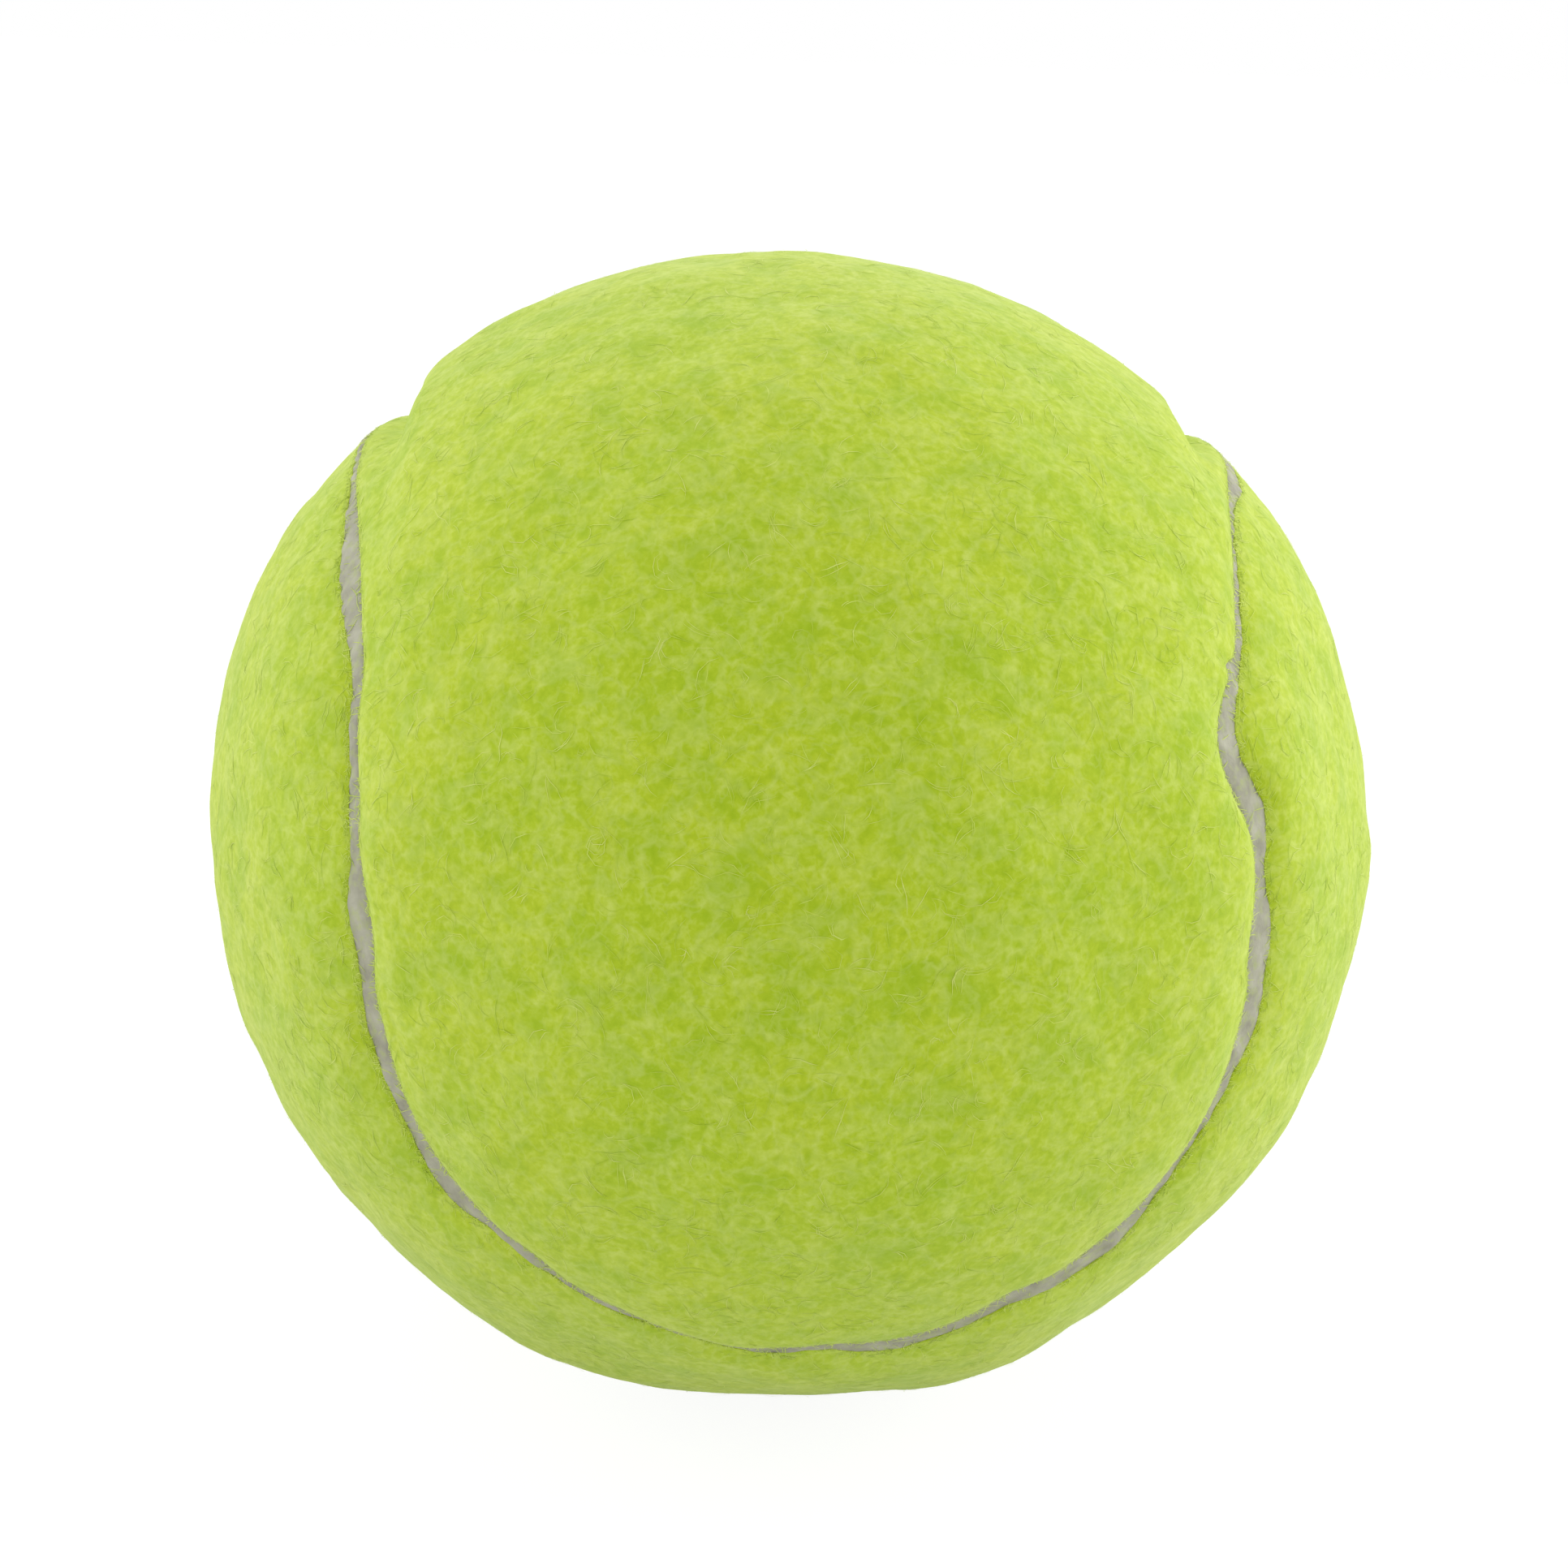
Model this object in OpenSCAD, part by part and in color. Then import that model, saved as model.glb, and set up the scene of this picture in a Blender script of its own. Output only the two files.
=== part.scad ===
// Pressurised tennis ball, 66.7 mm over the nap.
// Two moulded rubber half shells are cemented rim to rim into a hollow core. Two equal dog-bone panels
// of felt, each with its own rubber back coat, wrap round the core and interlock, and one closed loop
// of grey seam cement fills the gap between their edges.
//
// Frame: the origin is the ball's centre. Panel A has its waist at +Z and its lobes facing -Y and +Y.
// Panel B has its waist at -Z and its lobes facing -X and +X. The core's joint lies in the XY plane.
//
// Seam: four half circles, one round each of the directions -Y, +Y (below the XY plane) and -X, +X
// (above it). At 45 degrees from those directions they meet end to end and smoothly, so both panels
// are swept from one cross-section: half a turn over the top, and half a turn round each lobe.

/* [Ball] */
// Diameter over the nap of the felt
ball_d = 66.7; // [65.4:0.1:68.6]

/* [Core] */
// Wall of the moulded rubber half shells
core_wall = 3.3; // [2.5:0.1:4.5]
// Cement between the rims of the half shells
joint_t = 0.2; // [0.1:0.05:0.6]
// Radius of the bead that the cement leaves inside the joint
joint_bead_r = 0.7; // [0.4:0.1:1.5]
// Rubber solution brushed over the closed core
coat_t = 0.12; // [0.06:0.02:0.3]

/* [Felt] */
// Felt, from its back to the top of the nap
felt_t = 3.1; // [2.6:0.1:4]
// Rubber coat on the back of each felt panel
backing_t = 0.35; // [0.2:0.05:0.6]
// Rounding of the nap down into the seam
edge_r = 2.4; // [1.6:0.1:2.5]

/* [Seam] */
// Width of the cement between the cut edges of the felt
seam_w = 0.95; // [0.5:0.05:2]
// Depth of the cement's top below the nap
seam_depth = 1.5; // [0.9:0.1:2]

/* [Hidden] */
$fn = 144;

// Radii from the outside in
ball_r = ball_d / 2;
felt_in_r = ball_r - felt_t;
coat_r = felt_in_r - backing_t;
core_r = coat_r - coat_t;
core_in_r = core_r - core_wall;
seam_r = ball_r - seam_depth;

// Angular radius at which four equal half circles close into one smooth loop
seam_angle = 45;
// Angle at the ball's centre from the middle of the seam to a panel's cut edge
seam_half_angle = atan(seam_w / 2 / seam_r);
// Angle from the middle of a lobe to its cut edge
reach = seam_angle - seam_half_angle;

// The rounding's circle stands past the nap and past the cut edge by this share of its radius, so
// that the faces cross there and don't just touch
edge_lap_share = 0.0125;
edge_lap = edge_lap_share * edge_r;
edge_centre_r = ball_r - edge_r + edge_lap;
edge_centre_a = reach - asin((edge_r - edge_lap) / edge_centre_r);

// A size beyond every piece, for cutting shapes
beyond = 2 * ball_d;

felt_colour = [0.71, 0.80, 0.29];
backing_colour = [0.62, 0.60, 0.36];
seam_colour = [0.70, 0.69, 0.66];
core_colour = [0.20, 0.20, 0.21];
coat_colour = [0.36, 0.34, 0.30];
joint_colour = [0.52, 0.44, 0.30];

// A point of a cross-section, at radius r and angle a from the middle of the panel
function at(r, a) = r * [sin(a), cos(a)];

// A slice of a disc, a degrees to each side of the middle
module slice(r, a) {
    intersection() {
        circle(r);
        polygon([[0, 0], at(beyond, -a), at(beyond, 0), at(beyond, a)]);
    }
}

// What the rounding takes off the corner between the nap and one cut edge, side -1 or 1
module nap_corner(side) {
    centre = at(edge_centre_r, side * edge_centre_a);
    difference() {
        polygon([
            centre,
            centre + at(beyond, side * (reach + 90)),
            at(2 * beyond, side * reach),
            at(beyond, side * edge_centre_a)
        ]);
        translate(centre) circle(edge_r);
    }
}

// Cross-section of a panel between the radius in_r and the nap, with both edges rounded
module panel_section(in_r) {
    difference() {
        slice(ball_r, reach);
        circle(in_r);
        for (side = [-1, 1]) nap_corner(side);
    }
}

module backing_section() {
    difference() {
        slice(felt_in_r, reach);
        circle(coat_r);
    }
}

// Half a turn over the top, about the X axis, of a section whose middle is at right angles to it
module sweep_over_top() {
    rotate([0, 90, 0]) rotate([0, 0, 90]) rotate_extrude(angle = 180) rotate(-90) children();
}

// Half a turn below the XY plane, about the -Y axis, of the part of a section to one side of it
module sweep_round_lobe() {
    rotate([90, 0, 0]) rotate([0, 0, 180]) rotate_extrude(angle = 180) intersection() {
        children();
        translate([0, -beyond]) square([beyond, 2 * beyond]);
    }
}

// A dog-bone panel over the ball, in panel A's place
module dog_bone() {
    sweep_over_top() children();
    for (turn = [0, 180]) rotate([0, 0, turn]) sweep_round_lobe() children();
}

// Turns what lies at panel A into panel B's place
module place_b() {
    rotate([180, 0, 90]) children();
}

// Half a shell of rubber with a flat rim, open towards -Z
module core_half() {
    difference() {
        sphere(core_r);
        sphere(core_in_r);
        translate([-beyond, -beyond, joint_t / 2 - 2 * beyond]) cube(2 * beyond);
    }
}

module core_half_upper() {
    color(core_colour) core_half();
}

module core_half_lower() {
    color(core_colour) mirror([0, 0, 1]) core_half();
}

// Flat ring between the two rims, with the bead that was squeezed into the hollow
module core_joint_cement() {
    color(joint_colour) rotate_extrude() intersection() {
        circle(core_r);
        union() {
            translate([core_in_r - joint_bead_r / 2, -joint_t / 2]) square([beyond, joint_t]);
            intersection() {
                circle(core_in_r);
                translate([core_in_r, 0]) circle(joint_bead_r);
            }
        }
    }
}

module core_coat() {
    color(coat_colour) difference() {
        sphere(coat_r);
        sphere(core_r);
    }
}

module backing_panel_a() {
    color(backing_colour) dog_bone() backing_section();
}

module backing_panel_b() {
    color(backing_colour) place_b() dog_bone() backing_section();
}

module felt_panel_a() {
    color(felt_colour) dog_bone() panel_section(felt_in_r);
}

module felt_panel_b() {
    color(felt_colour) place_b() dog_bone() panel_section(felt_in_r);
}

// One closed loop: what the panels and their backings leave of a shell round the coated core
module seam_cement() {
    color(seam_colour) difference() {
        sphere(seam_r);
        sphere(coat_r);
        dog_bone() panel_section(core_r);
        place_b() dog_bone() panel_section(core_r);
    }
}

core_half_upper();
core_half_lower();
core_joint_cement();
core_coat();
backing_panel_a();
backing_panel_b();
felt_panel_a();
felt_panel_b();
seam_cement();
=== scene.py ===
"""Looks of a pressurised tennis ball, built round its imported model.

The two felt panels and the seam between them are modelled again as soft, uneven skins, and more than
twenty thousand curled nap fibres lie over them. The core, its cement and coat, and the panels' rubber
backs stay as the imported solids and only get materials.
"""
import math

import bmesh
import bpy
import numpy as np
from mathutils import Matrix, Vector


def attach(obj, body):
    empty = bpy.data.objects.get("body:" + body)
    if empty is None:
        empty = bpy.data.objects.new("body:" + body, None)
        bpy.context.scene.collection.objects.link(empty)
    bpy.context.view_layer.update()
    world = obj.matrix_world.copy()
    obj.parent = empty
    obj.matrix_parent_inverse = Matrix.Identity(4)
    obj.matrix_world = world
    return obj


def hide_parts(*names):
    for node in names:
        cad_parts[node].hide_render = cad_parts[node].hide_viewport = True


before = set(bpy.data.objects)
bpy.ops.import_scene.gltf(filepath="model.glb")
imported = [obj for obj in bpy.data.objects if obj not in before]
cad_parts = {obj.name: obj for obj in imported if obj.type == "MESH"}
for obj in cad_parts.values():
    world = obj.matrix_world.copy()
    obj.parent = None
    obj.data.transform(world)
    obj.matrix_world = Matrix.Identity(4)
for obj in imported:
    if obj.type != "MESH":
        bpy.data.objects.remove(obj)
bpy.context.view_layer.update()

MM = 0.001
# Seeds of the random draws, so that each run gives the same ball
WAVE_SEED = 11
CEMENT_SEED = 5
NAP_SEED = 23


def node_radii(name):
    """Least and greatest distance from the ball's centre to the corners of a CAD node."""
    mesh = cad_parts[name].data
    corners = np.empty(len(mesh.vertices) * 3, np.float32)
    mesh.vertices.foreach_get("co", corners)
    lengths = np.linalg.norm(corners.reshape(-1, 3), axis=1)
    return float(lengths.min()), float(lengths.max())


# Radii of the felt's back, of the nap and of the cement's top
FELT_BACK_R, BALL_R = node_radii("felt_panel_a")
SEAM_R = node_radii("seam_cement")[1]

# The photograph: its side, and the ball's outline in it, in pixels
PHOTO_PX = 1932
OUTLINE_PX = 711
CENTRE_PX = (972, 1013.5)
# Where the photograph was taken from: distance in ball radii, turn and height round the ball, roll
CAMERA_RADII = 4.5
CAMERA_TURN = math.radians(2.7)
CAMERA_HEIGHT = math.radians(17.9)
CAMERA_ROLL = math.radians(-1.9)
SENSOR_MM = 36

# The seam is four half circles of this angular radius, round -Y, -X, +Y and +X in turn. A place on it
# is its turn, 180 degrees to each half circle, and its angle across, positive in panel B.
SEAM_ANGLE = math.pi / 4
HALF_TURN = 180
LOOP_TURN = 4 * HALF_TURN
# Distance from the seam to the middle of a panel
PANEL_REACH = SEAM_ANGLE * SEAM_R

# How far the hand-laid seam strays towards panel B, at some turns
SEAM_STRAY = [
    (3, 0.4 * MM), (8, 0.4 * MM), (14, -0.1 * MM), (20, -0.5 * MM), (26, -1.0 * MM),
    (32, -1.3 * MM), (38, -1.2 * MM), (44, -1.3 * MM), (50, -1.8 * MM), (57, -3.1 * MM),
    (65, -2.8 * MM), (73, -2.6 * MM), (79, -2.8 * MM), (84, -3.6 * MM), (88, -3.6 * MM),
    (92, -3.2 * MM), (98, -3.1 * MM), (105, -3.4 * MM), (113, -3.5 * MM), (118, -3.5 * MM),
    (125, -3.4 * MM), (134, -3.4 * MM), (138, -3.0 * MM), (142, -2.3 * MM), (147, -1.8 * MM),
    (155, -1.7 * MM), (162, -1.7 * MM), (170, -1.4 * MM), (176, -1.3 * MM), (183, -1.0 * MM),
    (188, -0.6 * MM), (194, -0.4 * MM), (199, -0.2 * MM), (204, -0.2 * MM), (210, 0.0),
    (216, -0.2 * MM), (223, 0.4 * MM), (232, 1.0 * MM), (241, 1.2 * MM), (252, 1.5 * MM),
    (268, 1.6 * MM), (290, 1.2 * MM), (320, 0.8 * MM), (360, 0.2 * MM), (430, 0.3 * MM),
    (480, -0.3 * MM), (530, 0.3 * MM), (580, 0.3 * MM), (615, 0.6 * MM), (638, 0.9 * MM),
    (647, 0.3 * MM), (655, -0.7 * MM), (662, -1.1 * MM), (673, -1.4 * MM), (678, -1.5 * MM),
    (682, -1.8 * MM), (687, -2.7 * MM), (691, -3.0 * MM), (694, -2.6 * MM), (698, -1.0 * MM),
    (702, -0.2 * MM), (707, 0.0), (712, 0.4 * MM), (718, 0.4 * MM),
]
# Width of the cement between the cut edges of the felt, at some turns
SEAM_WIDTH = [
    (3, 1.4 * MM), (8, 2.0 * MM), (14, 1.1 * MM), (20, 0.8 * MM), (26, 0.7 * MM), (32, 0.9 * MM),
    (38, 1.3 * MM), (44, 2.3 * MM), (50, 1.8 * MM), (57, 1.7 * MM), (65, 1.2 * MM), (73, 1.4 * MM),
    (81, 1.5 * MM), (85, 0.8 * MM), (89, 0.7 * MM), (92, 1.2 * MM), (98, 0.4 * MM),
    (106, 0.2 * MM), (112, 0.35 * MM), (116, 0.7 * MM), (122, 0.4 * MM), (126, 0.45 * MM),
    (130, 0.9 * MM), (133, 1.0 * MM), (136, 0.5 * MM), (139, 0.6 * MM), (142, 1.6 * MM),
    (147, 1.6 * MM), (151, 1.2 * MM), (162, 1.0 * MM), (170, 1.5 * MM), (176, 1.0 * MM),
    (183, 1.7 * MM), (188, 1.5 * MM), (194, 0.5 * MM), (199, 1.1 * MM), (204, 0.5 * MM),
    (210, 0.7 * MM), (216, 0.9 * MM), (223, 1.3 * MM), (232, 1.7 * MM), (241, 1.1 * MM),
    (252, 0.4 * MM), (268, 0.3 * MM), (290, 0.7 * MM), (340, 1.0 * MM), (400, 0.8 * MM),
    (460, 1.1 * MM), (520, 0.9 * MM), (615, 0.9 * MM), (630, 0.8 * MM), (638, 1.0 * MM),
    (647, 1.3 * MM), (655, 0.5 * MM), (662, 0.3 * MM), (673, 0.6 * MM), (682, 0.6 * MM),
    (687, 1.2 * MM), (691, 1.5 * MM), (694, 2.0 * MM), (698, 3.0 * MM), (702, 1.5 * MM),
    (707, 0.8 * MM), (712, 1.6 * MM), (718, 2.2 * MM),
]
# How deep the cement lies below the skin, at some turns
SEAM_SINK = [
    (0, 0.85 * MM), (18, 0.8 * MM), (30, 0.65 * MM), (50, 0.5 * MM), (96, 0.45 * MM),
    (135, 0.5 * MM), (150, 0.8 * MM), (215, 0.85 * MM), (232, 0.7 * MM), (246, 0.45 * MM),
    (262, 0.25 * MM), (280, 0.25 * MM), (300, 0.6 * MM), (360, 0.85 * MM), (560, 0.85 * MM),
    (610, 0.6 * MM), (628, 0.2 * MM), (645, 0.25 * MM), (660, 0.5 * MM), (680, 0.75 * MM),
    (700, 0.85 * MM),
]
# Degrees over which the curves through these tables are smoothed
TABLE_BLUR = 1.6
# A spur of cement that cuts into panel A: turn, length and half width in degrees
SPUR = (682.4, 0.5 * MM, 0.7)

# The fibres' layer on the skin
FUZZ_DEPTH = 0.15 * MM
# How far the skin takes to rise from the cement, and the share of its waves that is left at the cut edge
VALLEY_REACH = 1.2 * MM
EDGE_WAVES = 0.1
# Dents in panel A beside the seam, where the outline has its notches: turn, half length in degrees,
# distance inwards, depth and half width
DENTS = [(272, 16, 2.3 * MM, 1.7 * MM, 0.9 * MM), (624, 12, 2.3 * MM, 2.7 * MM, 0.8 * MM)]

# Swells and hollows along the ball's outline in the photograph: angle from the right towards the top,
# height, and half width in degrees
OUTLINE_SWELLS = [
    (0, 0.45 * MM, 8), (20, -0.2 * MM, 6), (36, 0.1 * MM, 8), (60, -0.35 * MM, 17),
    (82, -0.05 * MM, 10), (110, -0.25 * MM, 5), (120, 0.4 * MM, 9), (160, 0.45 * MM, 15),
    (190, 0.1 * MM, 8), (215, 0.1 * MM, 12), (240, 0.4 * MM, 13), (269, -0.3 * MM, 10),
    (289, 0.55 * MM, 8), (305, -0.3 * MM, 8), (330, 0.2 * MM, 10),
]
# Waves of the nap's surface: length and height
NAP_WAVES = [(14 * MM, 0.1 * MM), (5 * MM, 0.04 * MM), (1.9 * MM, 0.01 * MM)]
WAVES_PER_SET = 24
# Range of the factors by which the waves of a set differ from its length
WAVE_FACTORS = (0.7, 1.4)


def unit(vectors):
    return vectors / np.linalg.norm(vectors, axis=-1, keepdims=True)


def seam_place(directions):
    """Turn along the seam in degrees, and angle across it in radians, of unit vectors."""
    x, y, z = directions.T
    low = z < 0
    from_axis = np.arccos(np.clip(np.where(low, np.abs(y), np.abs(x)), 0, 1))
    across = np.where(low, from_axis - SEAM_ANGLE, SEAM_ANGLE - from_axis)
    turn = np.select(
        [low & (y < 0), ~low & (x < 0), low],
        [np.arctan2(-z, x), math.pi + np.arctan2(z, -y), 2 * math.pi + np.arctan2(-z, -x)],
        3 * math.pi + np.arctan2(z, y),
    )
    return np.degrees(turn), across


def direction_at(turn, across):
    """Unit vectors at a turn along the seam and an angle across it."""
    half = np.floor(turn / HALF_TURN) % 4
    spin = np.radians(turn % HALF_TURN)
    lobe = half % 2 == 0
    side = np.where(half < 2, -1.0, 1.0)
    swing = np.where(lobe, SEAM_ANGLE + across, SEAM_ANGLE - across)
    axial = side * np.cos(swing)
    level = side * np.sin(swing) * np.cos(spin)
    upright = np.sin(swing) * np.sin(spin)
    return np.stack(
        [np.where(lobe, -level, axial), np.where(lobe, axial, level), np.where(lobe, -upright, upright)],
        axis=-1,
    )


def table_curve(table):
    """A smooth curve through a table of turns and values, one value per degree round the loop."""
    turns, values = zip(*table)
    grid = np.arange(LOOP_TURN)
    line = np.interp(grid, turns, values, period=LOOP_TURN)
    gap = np.minimum(grid, LOOP_TURN - grid)
    weight = np.exp(-((gap / TABLE_BLUR) ** 2) / 2)
    return np.real(np.fft.ifft(np.fft.fft(line) * np.fft.fft(weight / weight.sum())))


STRAY_CURVE = table_curve(SEAM_STRAY)
WIDTH_CURVE = table_curve(SEAM_WIDTH)
SINK_CURVE = table_curve(SEAM_SINK)


def read_curve(curve, turn):
    return np.interp(turn, np.arange(LOOP_TURN), curve, period=LOOP_TURN)


def cut_edge(turn, side):
    """How far a panel's cut edge lies from the seam's middle, towards panel B."""
    turn_at, length, half_width = SPUR
    spur = np.where(side < 0, length * np.exp(-(((turn - turn_at) / half_width) ** 2) / 2), 0)
    return side * (read_curve(WIDTH_CURVE, turn) / 2 + spur)


def shift_at(turn, inwards, side):
    """How far a panel's points lie from the ideal seam's parallels, towards panel B.

    inwards is the distance from the cut edge, and side is -1 for panel A and 1 for panel B.
    """
    fade = np.clip(1 - inwards / PANEL_REACH, 0, 1)
    return read_curve(STRAY_CURVE, turn) * fade**2 + cut_edge(turn, side) * fade


PLACE_ROUNDS = 4


def panel_place(directions):
    """Turn, side of the seam, and distance inwards from the cut edge, which is negative over the cement.

    The shift depends on the distance itself, so it is found in a few rounds.
    """
    turn, across = seam_place(directions)
    offset = across * SEAM_R
    middle = read_curve(STRAY_CURVE, turn) * (1 - np.abs(across) / SEAM_ANGLE) ** 2
    side = np.where(offset > middle, 1, -1)
    inwards = np.abs(offset)
    for _ in range(PLACE_ROUNDS):
        inwards = side * (offset - shift_at(turn, inwards, side))
    return turn, side, inwards


class Waves:
    """Random smooth field in space, the sum of plane waves of about one length."""

    def __init__(self, rng, length, count=WAVES_PER_SET):
        self.vectors = unit(rng.normal(size=(count, 3))) * 2 * math.pi / length
        self.vectors *= rng.uniform(*WAVE_FACTORS, (count, 1))
        self.phases = rng.uniform(0, 2 * math.pi, count)

    def __call__(self, points):
        total = np.zeros(len(points))
        for vector, phase in zip(self.vectors, self.phases):
            total += np.sin(points @ vector + phase)
        return total * math.sqrt(2 / len(self.phases))


def camera_axes():
    """Unit vectors from the ball to the camera, and to the photograph's right and top."""
    level = math.cos(CAMERA_HEIGHT)
    aside, away = math.sin(CAMERA_TURN) * level, math.cos(CAMERA_TURN) * level
    back = Vector((-aside, -away, math.sin(CAMERA_HEIGHT)))
    right = Vector((0, 0, 1)).cross(back).normalized()
    roll = Matrix.Rotation(-CAMERA_ROLL, 3, back)
    right = roll @ right
    return back, right, back.cross(right)


def outline_direction(angle):
    """Unit vector to the point of the ball's outline at an angle in the photograph."""
    back, right, up = camera_axes()
    limb = math.acos(1 / CAMERA_RADII)
    beside = right * math.cos(math.radians(angle)) + up * math.sin(math.radians(angle))
    return np.array(back * math.cos(limb) + beside * math.sin(limb))


wave_rng = np.random.default_rng(WAVE_SEED)
NAP_FIELDS = [(Waves(wave_rng, length), height) for length, height in NAP_WAVES]
SWELL_FIELDS = [
    (outline_direction(angle), height, math.radians(half_width))
    for angle, height, half_width in OUTLINE_SWELLS
]


def ground_radius(directions):
    """Distance from the ball's centre to the skin, without seam, dents or fine waves."""
    radius = np.full(len(directions), BALL_R - FUZZ_DEPTH)
    for centre, height, half_width in SWELL_FIELDS:
        angle = np.arccos(np.clip(directions @ centre, -1, 1))
        radius += height * np.exp(-((angle / half_width) ** 2) / 2)
    return radius


def nap_radius(directions, turn, side, inwards):
    """Distance from the ball's centre to the skin, or to the cement where inwards is negative."""
    radius = ground_radius(directions)
    settled = np.clip(inwards / VALLEY_REACH, EDGE_WAVES, 1)
    for field, height in NAP_FIELDS:
        radius += height * settled * field(directions * BALL_R)
    radius -= read_curve(SINK_CURVE, turn) * np.exp(-np.clip(inwards, 0, None) / VALLEY_REACH)
    for dent_turn, half_length, distance, depth, half_width in DENTS:
        along = ((turn - dent_turn) / half_length) ** 2
        beside = ((inwards - distance) / half_width) ** 2
        radius -= np.where(side < 0, depth * np.exp(-(along + beside) / 2), 0)
    return radius


def above_floor(points):
    """Presses points that would sink into the floor up to it."""
    points[:, 2] = np.maximum(points[:, 2], -BALL_R)
    return points


def make_piece(name, points, faces, uvs, material, nodes=(), smooth=True):
    """A mesh object that rides with the ball. uvs has one pair per face corner."""
    mesh = bpy.data.meshes.new(name)
    corners = faces.shape[1]
    mesh.vertices.add(len(points))
    mesh.vertices.foreach_set("co", points.astype(np.float32).ravel())
    mesh.loops.add(faces.size)
    mesh.loops.foreach_set("vertex_index", faces.astype(np.int32).ravel())
    mesh.polygons.add(len(faces))
    mesh.polygons.foreach_set("loop_start", np.arange(0, faces.size, corners, dtype=np.int32))
    mesh.polygons.foreach_set("loop_total", np.full(len(faces), corners, np.int32))
    mesh.polygons.foreach_set("use_smooth", np.full(len(faces), smooth))
    layer = mesh.uv_layers.new(name="OFBake")
    layer.data.foreach_set("uv", uvs.astype(np.float32).ravel())
    mesh.update(calc_edges=True)
    mesh.validate()
    mesh.materials.append(material)
    piece = bpy.data.objects.new(name, mesh)
    bpy.context.scene.collection.objects.link(piece)
    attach(piece, "root")
    if nodes:
        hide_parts(*nodes)
    return piece


def grid_faces(columns, rows, flip):
    """Quads of a grid that closes on itself along its columns; point index is column * rows + row."""
    column, row = np.meshgrid(np.arange(columns), np.arange(rows - 1), indexing="ij")
    after = (column + 1) % columns
    corners = [column * rows + row, after * rows + row, after * rows + row + 1, column * rows + row + 1]
    if flip:
        corners.reverse()
    return np.stack(corners, axis=-1).reshape(-1, 4)


SKIN_COLUMNS = 960
TOP_ROWS = 84
BACK_ROWS = 7
# Power by which the rows of the top lie closer towards the cut edge
TOP_SPACING = 1.6
# Degrees across the whole of a panel's bake map, and where the top and the back lie in it
MAP_SPAN = 300
MAP_START = 60
MAP_TOP_V = 0.73
MAP_BACK_V = 0.27


def skin_map(directions, side, middle):
    """Flat map of a panel by longitude about its length, round the line at height middle."""
    x, y, z = directions.T
    if side > 0:
        x, y, z = y, x, -z
    longitude = np.degrees(np.arctan2(z, -y))
    longitude = np.where(longitude < -90, longitude + 360, longitude)
    latitude = np.degrees(np.arcsin(np.clip(x, -1, 1)))
    return np.stack([(longitude + MAP_START) / MAP_SPAN, middle + latitude / MAP_SPAN], axis=-1)


def panel_rows():
    """Distance inwards, and share of the height from the back to the nap, of a panel's rows of points.

    They run over the back to the cut edge, up it and over the nap to the middle.
    """
    back = PANEL_REACH * np.linspace(1, 0, BACK_ROWS)
    top = PANEL_REACH * np.linspace(0, 1, TOP_ROWS) ** TOP_SPACING
    return np.concatenate([back, top]), np.concatenate([np.zeros(BACK_ROWS), np.ones(TOP_ROWS)])


def felt_skin(name, side, material, node):
    """A closed, uneven felt panel. side is -1 for panel A and 1 for panel B."""
    inwards, height = panel_rows()
    rows = len(inwards)
    turn = np.repeat(np.arange(SKIN_COLUMNS) * LOOP_TURN / SKIN_COLUMNS, rows)
    inwards = np.tile(inwards, SKIN_COLUMNS)
    height = np.tile(height, SKIN_COLUMNS)
    offset = side * inwards + shift_at(turn, inwards, side)
    directions = direction_at(turn, offset / SEAM_R)
    radius = np.where(height > 0, nap_radius(directions, turn, side, inwards), FELT_BACK_R)
    points = above_floor(directions * radius[:, None])
    faces = grid_faces(SKIN_COLUMNS, rows, side > 0)
    top_map = skin_map(directions, side, MAP_TOP_V)
    back_map = skin_map(directions, side, MAP_BACK_V)
    on_back = (faces % rows).max(axis=1) < BACK_ROWS
    uvs = np.where(on_back[:, None, None], back_map[faces], top_map[faces])
    piece = make_piece(name, points, faces, uvs, material, [node])
    weld(piece)
    return piece


# Distance within which points are joined
WELD = 0.001 * MM


def weld(piece):
    """Joins the points that meet along the middle of a panel."""
    shape = bmesh.new()
    shape.from_mesh(piece.data)
    bmesh.ops.remove_doubles(shape, verts=shape.verts, dist=WELD)
    shape.to_mesh(piece.data)
    shape.free()


STRIP_COLUMNS = 1440
# Bands into which the strip's bake map is cut
STRIP_BANDS = 16
# Bare share of a bake map's cell along each of its sides
CELL_MARGIN = 0.1
CELL_FILL = 1 - 2 * CELL_MARGIN
# Lengths and height of the cement's waves
CEMENT_SWELL = 4 * MM
CEMENT_GRAIN = 1.3 * MM
CEMENT_WAVE = 0.03 * MM
# Rows from panel A to panel B: side, distance in under the felt, share of the gap's half width, and how
# far the row is sunk
STRIP_SECTION = [
    (-1, 0.6 * MM, 1, 0.6 * MM), (-1, 0.3 * MM, 1, 0.3 * MM), (-1, 0.1 * MM, 1, 0.1 * MM),
    (-1, 0, 1, 0.03 * MM), (-1, 0, 0.66, 0), (-1, 0, 0.33, 0), (1, 0, 0, 0), (1, 0, 0.33, 0),
    (1, 0, 0.66, 0), (1, 0, 1, 0.03 * MM), (1, 0.1 * MM, 1, 0.1 * MM), (1, 0.3 * MM, 1, 0.3 * MM),
    (1, 0.6 * MM, 1, 0.6 * MM),
]


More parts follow.
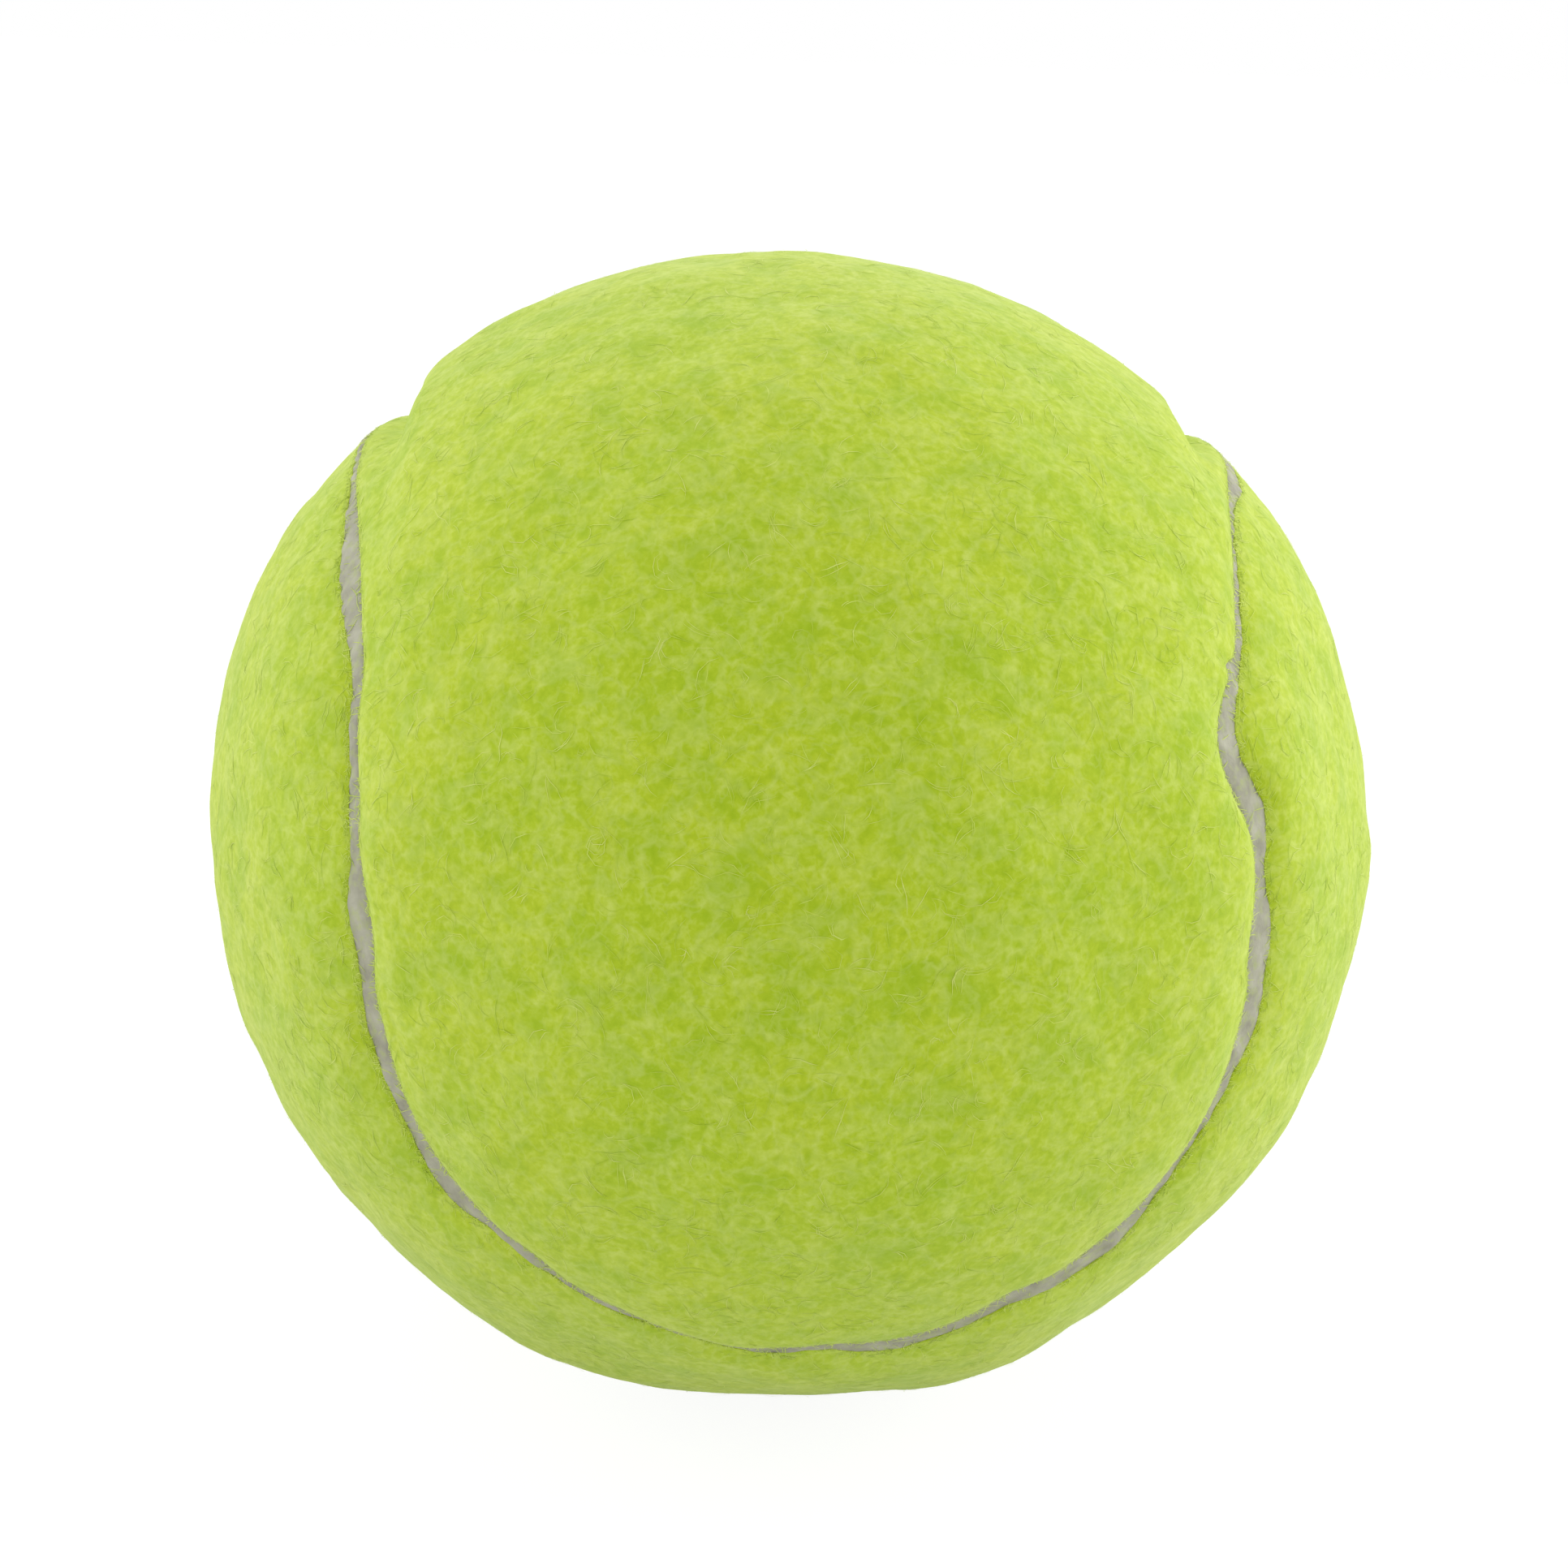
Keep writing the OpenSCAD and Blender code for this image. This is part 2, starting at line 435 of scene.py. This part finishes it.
def seam_strip(material):
    """The cement between the panels: a closed, uneven loop whose edges run in under the nap."""
    rows = len(STRIP_SECTION) + 2
    turn = np.arange(STRIP_COLUMNS) * LOOP_TURN / STRIP_COLUMNS
    middle = read_curve(STRAY_CURVE, turn)
    sink = read_curve(SINK_CURVE, turn)
    rng = np.random.default_rng(CEMENT_SEED)
    swell = Waves(rng, CEMENT_SWELL)
    grain = Waves(rng, CEMENT_GRAIN)
    points = np.empty((STRIP_COLUMNS, rows, 3))
    for row, (side, under, gap_share, drop) in enumerate(STRIP_SECTION):
        offset = middle + cut_edge(turn, side) * gap_share + side * under
        directions = direction_at(turn, offset / SEAM_R)
        wave = swell(directions * BALL_R) + grain(directions * BALL_R)
        radius = ground_radius(directions) - sink - drop + CEMENT_WAVE * wave
        points[:, row] = directions * radius[:, None]
    for row, side in ((rows - 2, 1), (rows - 1, -1)):
        directions = direction_at(turn, (middle + cut_edge(turn, side)) / SEAM_R)
        points[:, row] = directions * FELT_BACK_R
    faces = grid_faces(STRIP_COLUMNS, rows, False)
    here = np.arange(STRIP_COLUMNS)
    after = (here + 1) % STRIP_COLUMNS
    closing = [here * rows + rows - 1, after * rows + rows - 1, after * rows, here * rows]
    faces = np.concatenate([faces, np.stack(closing, axis=-1)])
    uvs = strip_map(faces, rows)
    points = points.reshape(-1, 3)
    return make_piece("seam_strip", points, faces, uvs, material, ["seam_cement"])


def strip_map(faces, rows):
    """Bake map of the strip, cut into bands that lie one above the other."""
    per_band = STRIP_COLUMNS // STRIP_BANDS
    first = (faces // rows).min(axis=1)
    wraps = (faces // rows).max(axis=1) - first > 1
    first = np.where(wraps, STRIP_COLUMNS - 1, first)
    is_after = (faces // rows) != first[:, None]
    u = ((first % per_band)[:, None] + is_after) / per_band
    row = faces % rows
    row = np.where((row == 0) & ((faces % rows).max(axis=1) == rows - 1)[:, None], rows, row)
    v = ((first // per_band)[:, None] + CELL_MARGIN + CELL_FILL * row / rows) / STRIP_BANDS
    return np.stack([u, v], axis=-1)


# The nap lies in wisps of a few fibres each, spread a little about the wisp's root
FIBRE_PIECES = 6
WISPS_PER_PIECE = 1000
WISP_FIBRES = 2
WISP_SPREAD = 0.06 * MM
# Range of the wisps' lengths, how much their fibres differ in it, and the limits of the sum
WISP_LENGTH = (1.0 * MM, 2.4 * MM)
LENGTH_SPREAD = 0.25 * MM
LENGTH_LIMITS = (0.6 * MM, 2.8 * MM)
# Radians: spread of the wisps' bend at each point and of its change along them, and what their fibres
# add to either
WISP_BEND = 0.5
WISP_SWERVE = 0.35
FIBRE_BEND = 0.15
# Length over which neighbouring wisps lie alike, how much they do, and what their fibres add
FLOW_LENGTH = 3.0 * MM
FLOW_SHARE = 0.5
FIBRE_STRAY = 0.25
# A fibre: points along it, sides, width of its rings, height by width, and range of its thickness
PATH_POINTS = 5
FIBRE_SIDES = 3
FIBRE_TAPER = np.array([0.8, 1.0, 0.75])
FIBRE_FLATNESS = 0.15
FIBRE_THICKNESS = (0.015 * MM, 0.025 * MM)
# Its height over the skin: range at the root, gamma spread (shape and scale) at the middle, and the
# share of fibres whose tip stands off, with the range of that
ROOT_HEIGHT = (-0.01 * MM, 0.02 * MM)
MIDDLE_RISE = (1.5, 0.015 * MM)
LIFTED_SHARE = 0.12
TIP_LIFT = (0.03 * MM, 0.2 * MM)
# How many of the fibres that would cross the seam are left, and how far the rest reach over it
CROSSING_SHARE = 0.05
EDGE_OVERLAP = 0.2 * MM
# The fringe along the felt's cut edges: fibres, range of their roots' distance inwards, how far they
# lean out in the mean and at most, and the spread of their headings and bends in radians
FRINGE_FIBRES = 12000
FRINGE_ROOTS = (0.05 * MM, 0.4 * MM)
FRINGE_OVERLAP = 0.25 * MM
FRINGE_LIMIT = 5 * FRINGE_OVERLAP
FRINGE_STRAY = 0.7
FRINGE_BEND = 0.3

nap_rng = np.random.default_rng(NAP_SEED)
FLOW_FIELDS = [Waves(nap_rng, FLOW_LENGTH) for _ in range(3)]


def lay_fibres(rng, here, heading, length, bend, swerve):
    """Paths of curled fibres from their roots over the skin, some with a free end.

    Also says how far in each one stays from the cut edges.
    """
    count = len(here)
    step = length / (PATH_POINTS - 1)
    root = rng.uniform(*ROOT_HEIGHT, count)
    rise = rng.gamma(*MIDDLE_RISE, count)
    lift = np.where(rng.random(count) < LIFTED_SHARE, rng.uniform(*TIP_LIFT, count), 0)
    inmost = np.full(count, PANEL_REACH)
    points = []
    for station in np.linspace(0, 1, PATH_POINTS):
        turn, side, inwards = panel_place(here)
        inmost = np.minimum(inmost, inwards)
        height = root + rise * math.sin(math.pi * station) + lift * station**2
        points.append(here * (nap_radius(here, turn, side, inwards) + height)[:, None])
        angle = bend + swerve * math.cos(2 * math.pi * station)
        heading = turned(here, heading, angle)
        here = unit(here + heading * (step / BALL_R)[:, None])
        heading = unit(heading - here * (heading * here).sum(axis=1, keepdims=True))
    return np.stack(points, axis=1), inmost


def turned(here, heading, angle):
    """Headings over the ball, turned about the points where they are."""
    return heading * np.cos(angle)[:, None] + np.cross(here, heading) * np.sin(angle)[:, None]


def wisp_paths(rng):
    """Fibres that lie in wisps over both panels."""
    wisps = unit(rng.normal(size=(WISPS_PER_PIECE, 3)))
    flow = np.stack([field(wisps * BALL_R) for field in FLOW_FIELDS], axis=-1)
    lie = FLOW_SHARE * flow + rng.normal(size=wisps.shape)

    def shared(values, spread):
        """One value per wisp, and a little of its own for each fibre."""
        values = np.repeat(values, WISP_FIBRES, axis=0)
        return values + rng.normal(0, spread, values.shape)

    here = unit(shared(wisps, WISP_SPREAD / BALL_R))
    heading = unit(np.cross(here, shared(lie, FIBRE_STRAY)))
    length = shared(rng.uniform(*WISP_LENGTH, WISPS_PER_PIECE), LENGTH_SPREAD).clip(*LENGTH_LIMITS)
    bend = shared(rng.normal(0, WISP_BEND, WISPS_PER_PIECE), FIBRE_BEND)
    swerve = shared(rng.normal(0, WISP_SWERVE, WISPS_PER_PIECE), FIBRE_BEND)
    paths, inmost = lay_fibres(rng, here, heading, length, bend, swerve)
    clear = inmost > -rng.exponential(EDGE_OVERLAP, len(here))
    return paths[clear | (rng.random(len(here)) < CROSSING_SHARE)]


def fringe_paths(rng):
    """Short fibres that lean out over the cement from both cut edges."""
    turn = rng.uniform(0, LOOP_TURN, FRINGE_FIBRES)
    side = rng.choice([-1, 1], FRINGE_FIBRES)
    inwards = rng.uniform(*FRINGE_ROOTS, FRINGE_FIBRES)
    over = rng.exponential(FRINGE_OVERLAP, FRINGE_FIBRES).clip(0, FRINGE_LIMIT)
    here = direction_at(turn, (side * inwards + shift_at(turn, inwards, side)) / SEAM_R)
    ahead = direction_at(turn, (shift_at(turn, 0, side) - side * FRINGE_OVERLAP) / SEAM_R)
    heading = ahead - here
    heading = unit(heading - here * (heading * here).sum(axis=1, keepdims=True))
    heading = turned(here, heading, rng.normal(0, FRINGE_STRAY, FRINGE_FIBRES))
    bend = rng.normal(0, FRINGE_BEND, FRINGE_FIBRES)
    return lay_fibres(rng, here, heading, inwards + over, bend, bend)[0]


def fibre_tubes(paths, thickness):
    """Points of thin, flattened tubes, closed to a tip at both ends."""
    count = len(paths)
    along = unit(paths[:, 2:] - paths[:, :-2])
    outward = unit(paths[:, 1:-1])
    sideways = unit(np.cross(along, outward))
    outward = np.cross(sideways, along) * FIBRE_FLATNESS
    # A quarter turn on, so that the first spoke points outwards
    angles = 2 * math.pi * (np.arange(FIBRE_SIDES) / FIBRE_SIDES + 0.25)
    spokes = (
        np.cos(angles)[None, None, :, None] * sideways[:, :, None]
        + np.sin(angles)[None, None, :, None] * outward[:, :, None]
    )
    size = thickness[:, None, None, None] * FIBRE_TAPER[None, :, None, None]
    rings = paths[:, 1:-1, None] + spokes * size
    return np.concatenate([paths[:, :1], rings.reshape(count, -1, 3), paths[:, -1:]], axis=1)


def fibre_pattern():
    """Faces of one fibre and the places of their corners in its cell of the bake map."""
    rings = PATH_POINTS - 2
    last = 1 + rings * FIBRE_SIDES
    faces = []
    places = []
    for side in range(FIBRE_SIDES):
        after = (side + 1) % FIBRE_SIDES
        faces.append([0, 1 + side, 1 + after])
        places.append([(side + 0.5, 0), (side, 1), (side + 1, 1)])
        for ring in range(rings - 1):
            low = 1 + ring * FIBRE_SIDES
            high = low + FIBRE_SIDES
            faces.append([low + side, high + side, high + after])
            places.append([(side, ring + 1), (side, ring + 2), (side + 1, ring + 2)])
            faces.append([low + side, high + after, low + after])
            places.append([(side, ring + 1), (side + 1, ring + 2), (side + 1, ring + 1)])
        high = 1 + (rings - 1) * FIBRE_SIDES
        faces.append([high + side, last, high + after])
        places.append([(side, rings), (side + 0.5, rings + 1), (side + 1, rings)])
    places = np.array(places, float) / [FIBRE_SIDES, rings + 1]
    return np.array(faces), places


def nap_fibres(name, paths, rng, material):
    """One piece of the nap, some thousands of fibres."""
    count = len(paths)
    tubes = fibre_tubes(paths, rng.uniform(*FIBRE_THICKNESS, count))
    per_fibre = tubes.shape[1]
    pattern, places = fibre_pattern()
    faces = (np.arange(count)[:, None, None] * per_fibre + pattern[None]).reshape(-1, 3)
    cells = math.ceil(math.sqrt(count))
    corner = np.stack([np.arange(count) % cells, np.arange(count) // cells], axis=-1)
    uvs = (corner[:, None, None] + CELL_MARGIN + CELL_FILL * places[None]) / cells
    points = above_floor(tubes.reshape(-1, 3))
    uvs = uvs.reshape(-1, 3, 2)
    return make_piece(name, points, faces, uvs, material, smooth=False)


class Shader:
    """Short way to write a material's nodes."""

    def __init__(self, name):
        self.material = bpy.data.materials.new(name)
        self.material.use_nodes = True
        self.tree = self.material.node_tree
        self.surface = self.tree.nodes["Principled BSDF"]
        self.place = self.add("ShaderNodeTexCoord").outputs["Object"]

    def add(self, kind, **settings):
        node = self.tree.nodes.new(kind)
        for key, value in settings.items():
            setattr(node, key, value)
        return node

    def link(self, source, target):
        self.tree.links.new(source, target)

    def noise(self, size, detail=2.0, roughness=0.5, curl=0.0):
        """Smooth noise from 0 to 1 with features of about the given size, curled by a share."""
        node = self.add("ShaderNodeTexNoise")
        self.link(self.place, node.inputs["Vector"])
        node.inputs["Scale"].default_value = 1 / size
        node.inputs["Detail"].default_value = detail
        node.inputs["Roughness"].default_value = roughness
        node.inputs["Distortion"].default_value = curl
        return node.outputs["Fac"]

    def ramp(self, value, stops):
        """Colours between the given stops of (position, colour)."""
        node = self.add("ShaderNodeValToRGB")
        ramp = node.color_ramp
        while len(ramp.elements) < len(stops):
            ramp.elements.new(0.5)
        for element, (position, colour) in zip(ramp.elements, stops):
            element.position = position
            element.color = (*colour, 1)
        self.link(value, node.inputs["Fac"])
        return node.outputs["Color"]

    def mix(self, fac, first, second):
        """The second colour over the first by a share, each given as a number, a colour or a socket."""
        node = self.add("ShaderNodeMix", data_type="RGBA")
        for key, value in ((0, fac), (6, first), (7, second)):
            if isinstance(value, bpy.types.NodeSocket):
                self.link(value, node.inputs[key])
            else:
                node.inputs[key].default_value = value if key == 0 else (*value, 1)
        return node.outputs[2]

    def bump(self, height, distance, strength):
        """Fine relief of the surface, of the given depth."""
        node = self.add("ShaderNodeBump")
        node.inputs["Strength"].default_value = strength
        node.inputs["Distance"].default_value = distance
        self.link(height, node.inputs["Height"])
        self.link(node.outputs["Normal"], self.surface.inputs["Normal"])

    def value(self, source, low, high, target):
        """Maps noise from 0 to 1 onto a range of a socket of the surface."""
        node = self.add("ShaderNodeMapRange")
        node.inputs["To Min"].default_value = low
        node.inputs["To Max"].default_value = high
        self.link(source, node.inputs["Value"])
        self.link(node.outputs["Result"], self.surface.inputs[target])


def srgb(red, green, blue):
    """A screen colour, 0 to 255, as the light values that nodes take."""
    shares = [part / 255 for part in (red, green, blue)]
    return tuple(s / 12.92 if s <= 0.04045 else ((s + 0.055) / 1.055) ** 2.4 for s in shares)


def grey(level):
    return level, level, level


# Sets of pale wisps painted on the felt: size, half width in the noise's values, strength
PALE_WISPS = [(2.4 * MM, 0.06, 0.19), (1.2 * MM, 0.06, 0.16)]
WISP_CURL = 0.35


def set_pile(s):
    """The dull surface and soft pale gleam of wool, alike on the felt and its fibres."""
    s.surface.inputs["Specular IOR Level"].default_value = 0.1
    s.surface.inputs["Sheen Weight"].default_value = 0.3
    s.surface.inputs["Sheen Roughness"].default_value = 0.6
    s.surface.inputs["Sheen Tint"].default_value = (0.96, 1.0, 0.74, 1)


def felt_skin_material():
    """Pile below the single fibres: grain whose pits are partly painted shade, painted shade in the
    hollows between tufts, and pale wisps over them.
    """
    s = Shader("felt_skin")
    grain = s.noise(0.5 * MM, 2.5, 0.6, 0.3)
    deep, middle, pale = srgb(160, 189, 14), srgb(181, 205, 38), srgb(203, 221, 92)
    # The grain's deep colour lies where its bump sinks: partly random tone of the wool, partly painted
    # shade in the pits
    nap = s.ramp(grain, [(0.28, deep), (0.5, middle), (0.72, pale)])
    patches = s.ramp(s.noise(7 * MM), [(0.35, srgb(168, 199, 14)), (0.65, srgb(194, 212, 38))])
    nap = s.mix(0.35, nap, patches)
    # Painted shade: the hollows between tufts are coloured darker and more saturated, as where shade
    # falls between the fibres
    shaded_gaps = s.ramp(s.noise(2.6 * MM, 3.0, 0.6, 0.3), [(0.34, grey(0.5)), (0.52, grey(0))])
    nap = s.mix(shaded_gaps, nap, srgb(152, 188, 8))
    for size, half_width, strength in PALE_WISPS:
        waves = s.noise(size, 3.0, 0.55, WISP_CURL)
        low, high = 0.5 - half_width, 0.5 + half_width
        wisps = s.ramp(waves, [(low, grey(0)), (0.5, grey(strength)), (high, grey(0))])
        nap = s.mix(wisps, nap, srgb(216, 229, 136))
    s.link(nap, s.surface.inputs["Base Color"])
    s.value(s.noise(1.5 * MM), 0.85, 1.0, "Roughness")
    set_pile(s)
    s.bump(grain, 0.05 * MM, 0.3)
    return s.material


# Pale and deep colour of the fibres, which vary from piece to piece
NAP_TINTS = [
    (srgb(212, 228, 112), srgb(188, 212, 62)),
    (srgb(202, 222, 90), srgb(180, 206, 44)),
    (srgb(218, 230, 124), srgb(194, 214, 70)),
]


def fibre_material(name, pale, deep):
    """Wool and nylon nap, whose fibres vary a little in colour over the ball."""
    s = Shader(name)
    colour = s.ramp(s.noise(0.9 * MM), [(0.35, deep), (0.65, pale)])
    s.link(colour, s.surface.inputs["Base Color"])
    s.value(s.noise(0.8 * MM), 0.8, 0.95, "Roughness")
    set_pile(s)
    return s.material


def cement_material():
    """Grey rubber cement, matt and faintly mottled, with dust of nap on it."""
    s = Shader("seam_cement_grey")
    mottle = s.ramp(s.noise(1.2 * MM, 3.0), [(0.3, srgb(154, 152, 134)), (0.7, srgb(183, 182, 162))])
    dust = s.ramp(s.noise(0.5 * MM), [(0.5, grey(0)), (0.72, grey(0.5))])
    s.link(s.mix(dust, mottle, srgb(176, 188, 116)), s.surface.inputs["Base Color"])
    s.value(s.noise(0.9 * MM), 0.6, 0.85, "Roughness")
    s.surface.inputs["Specular IOR Level"].default_value = 0.3
    s.bump(s.noise(0.3 * MM, 3.0), 0.06 * MM, 0.7)
    return s.material


def rubber_material(name, dark, light, grain, roughness):
    """Moulded or brushed rubber inside the ball."""
    s = Shader(name)
    s.link(s.ramp(s.noise(grain, 4.0), [(0.3, dark), (0.7, light)]), s.surface.inputs["Base Color"])
    s.value(s.noise(grain / 2), roughness - 0.1, roughness + 0.1, "Roughness")
    s.bump(s.noise(grain / 4, 3.0), 0.05 * MM, 0.5)
    return s.material


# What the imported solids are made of: name, dark and light colour, grain, roughness, nodes
INNER_RUBBER = [
    ("core_rubber_black", srgb(38, 38, 40), srgb(58, 57, 58), 2 * MM, 0.6,
     ["core_half_upper", "core_half_lower"]),
    ("joint_cement_amber", srgb(128, 108, 72), srgb(160, 138, 98), 1.5 * MM, 0.5,
     ["core_joint_cement"]),
    ("core_coat_brown", srgb(82, 76, 66), srgb(108, 100, 88), 3 * MM, 0.45, ["core_coat"]),
    ("felt_backing_olive", srgb(150, 146, 88), srgb(172, 166, 104), 1 * MM, 0.7,
     ["backing_panel_a", "backing_panel_b"]),
]


def dress_inner_nodes():
    """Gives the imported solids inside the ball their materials."""
    for name, dark, light, grain, roughness, nodes in INNER_RUBBER:
        material = rubber_material(name, dark, light, grain, roughness)
        for node in nodes:
            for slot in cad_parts[node].material_slots:
                slot.material = material


FLOOR_HALF = 4.0
FLOOR_GRAIN = 0.4
# How much of the floor's look is its own light to the camera, which hides its grain but not the shadow,
# and the strength of that light
FLOOR_GLOW = 0.8
FLOOR_GLOW_LEVEL = 1.15


def floor_material():
    """White paper: plain and pale for the light, and white with a soft shadow to the eye."""
    s = Shader("white_floor")
    paper = s.ramp(s.noise(FLOOR_GRAIN), [(0.0, grey(0.77)), (1.0, grey(0.81))])
    s.link(paper, s.surface.inputs["Base Color"])
    s.surface.inputs["Roughness"].default_value = 1.0
    s.surface.inputs["Specular IOR Level"].default_value = 0.0
    glow = s.add("ShaderNodeEmission")
    glow.inputs["Color"].default_value = (1, 1, 1, 1)
    glow.inputs["Strength"].default_value = FLOOR_GLOW_LEVEL
    seen = seen_directly(s.tree)
    share = s.add("ShaderNodeMath", operation="MULTIPLY")
    s.link(seen, share.inputs[0])
    share.inputs[1].default_value = FLOOR_GLOW
    both = s.add("ShaderNodeMixShader")
    s.link(share.outputs[0], both.inputs[0])
    s.link(s.surface.outputs[0], both.inputs[1])
    s.link(glow.outputs[0], both.inputs[2])
    s.link(both.outputs[0], s.tree.nodes["Material Output"].inputs["Surface"])
    return s.material


def seen_directly(tree):
    """1 for camera, glossy and transmission rays, and 0 for the rest."""
    path = tree.nodes.new("ShaderNodeLightPath")
    total = path.outputs["Is Camera Ray"]
    for name in ("Is Glossy Ray", "Is Transmission Ray"):
        node = tree.nodes.new("ShaderNodeMath")
        node.operation = "MAXIMUM"
        tree.links.new(total, node.inputs[0])
        tree.links.new(path.outputs[name], node.inputs[1])
        total = node.outputs[0]
    return total


def make_floor():
    """A wide level floor under the ball."""
    half = FLOOR_HALF
    corners = [(-half, -half), (half, -half), (half, half), (-half, half)]
    mesh = bpy.data.meshes.new("floor")
    mesh.from_pydata([(x, y, -BALL_R) for x, y in corners], [], [(0, 1, 2, 3)])
    mesh.materials.append(floor_material())
    floor = bpy.data.objects.new("floor", mesh)
    bpy.context.scene.collection.objects.link(floor)


# Strength of the light all round, of which 1 is white
WORLD_LIGHT = 0.73


def make_world():
    """Even pale light all round, and white where the eye sees past the floor."""
    world = bpy.data.worlds.new("studio")
    world.use_nodes = True
    tree = world.node_tree
    background = tree.nodes["Background"]
    background.inputs["Color"].default_value = (1, 1, 1, 1)
    level = tree.nodes.new("ShaderNodeMapRange")
    level.inputs["To Min"].default_value = WORLD_LIGHT
    level.inputs["To Max"].default_value = 1.0
    tree.links.new(seen_directly(tree), level.inputs["Value"])
    tree.links.new(level.outputs["Result"], background.inputs["Strength"])
    bpy.context.scene.world = world


# Soft lamps: name, direction from the ball, distance, side, and the light that they give a white face
# turned to them
LAMPS = [
    ("lamp_top", (0.0, 0.4, 1.0), 0.7, 0.7, 0.15),
    ("lamp_left", (-1.0, 0.3, 0.3), 0.7, 0.6, 0.47),
    ("lamp_right", (1.0, 0.25, 0.3), 0.7, 0.6, 0.69),
    ("lamp_front", (0.0, -1.0, 0.2), 0.9, 0.6, 0.03),
]


def make_lamps():
    """Square lamps that face the ball."""
    for name, direction, distance, side, level in LAMPS:
        data = bpy.data.lights.new(name, "AREA")
        data.shape = "SQUARE"
        data.size = side
        radiance = level * math.pi * distance**2 / side**2
        data.energy = radiance * math.pi * side**2
        lamp = bpy.data.objects.new(name, data)
        bpy.context.scene.collection.objects.link(lamp)
        towards = Vector(direction).normalized()
        lamp.location = towards * distance
        lamp.rotation_euler = towards.to_track_quat("Z", "Y").to_euler()


def make_camera():
    """The photograph's viewpoint, aimed so that the ball lies where the photograph has it."""
    back, right, up = camera_axes()
    focal_px = OUTLINE_PX * math.sqrt(CAMERA_RADII**2 - 1)
    middle = PHOTO_PX / 2
    aside, below = ((pixel - middle) / focal_px for pixel in CENTRE_PX)
    ahead = (up * below - right * aside - back).normalized()
    right = ahead.cross(up).normalized()
    up = right.cross(ahead)
    data = bpy.data.cameras.new("camera")
    data.sensor_width = SENSOR_MM
    data.lens = SENSOR_MM * focal_px / PHOTO_PX
    data.clip_start = 1 * MM
    camera = bpy.data.objects.new("camera", data)
    camera.matrix_world = Matrix((right, up, -ahead)).transposed().to_4x4()
    camera.location = back * CAMERA_RADII * BALL_R
    bpy.context.scene.collection.objects.link(camera)
    bpy.context.scene.camera = camera


def make_ball():
    """The felt skins, the cement between them and the nap over them."""
    skin = felt_skin_material()
    felt_skin("felt_skin_a", -1, skin, "felt_panel_a")
    felt_skin("felt_skin_b", 1, skin, "felt_panel_b")
    seam_strip(cement_material())
    materials = [fibre_material(f"nap_{i + 1}", *tints) for i, tints in enumerate(NAP_TINTS)]
    for i in range(FIBRE_PIECES):
        nap_fibres(f"nap_fibres_{i + 1}", wisp_paths(nap_rng), nap_rng, materials[i % len(materials)])
    nap_fibres("nap_fringe", fringe_paths(nap_rng), nap_rng, materials[0])


bpy.context.scene.view_settings.view_transform = "Standard"
make_camera()
make_world()
make_lamps()
make_floor()
dress_inner_nodes()
make_ball()
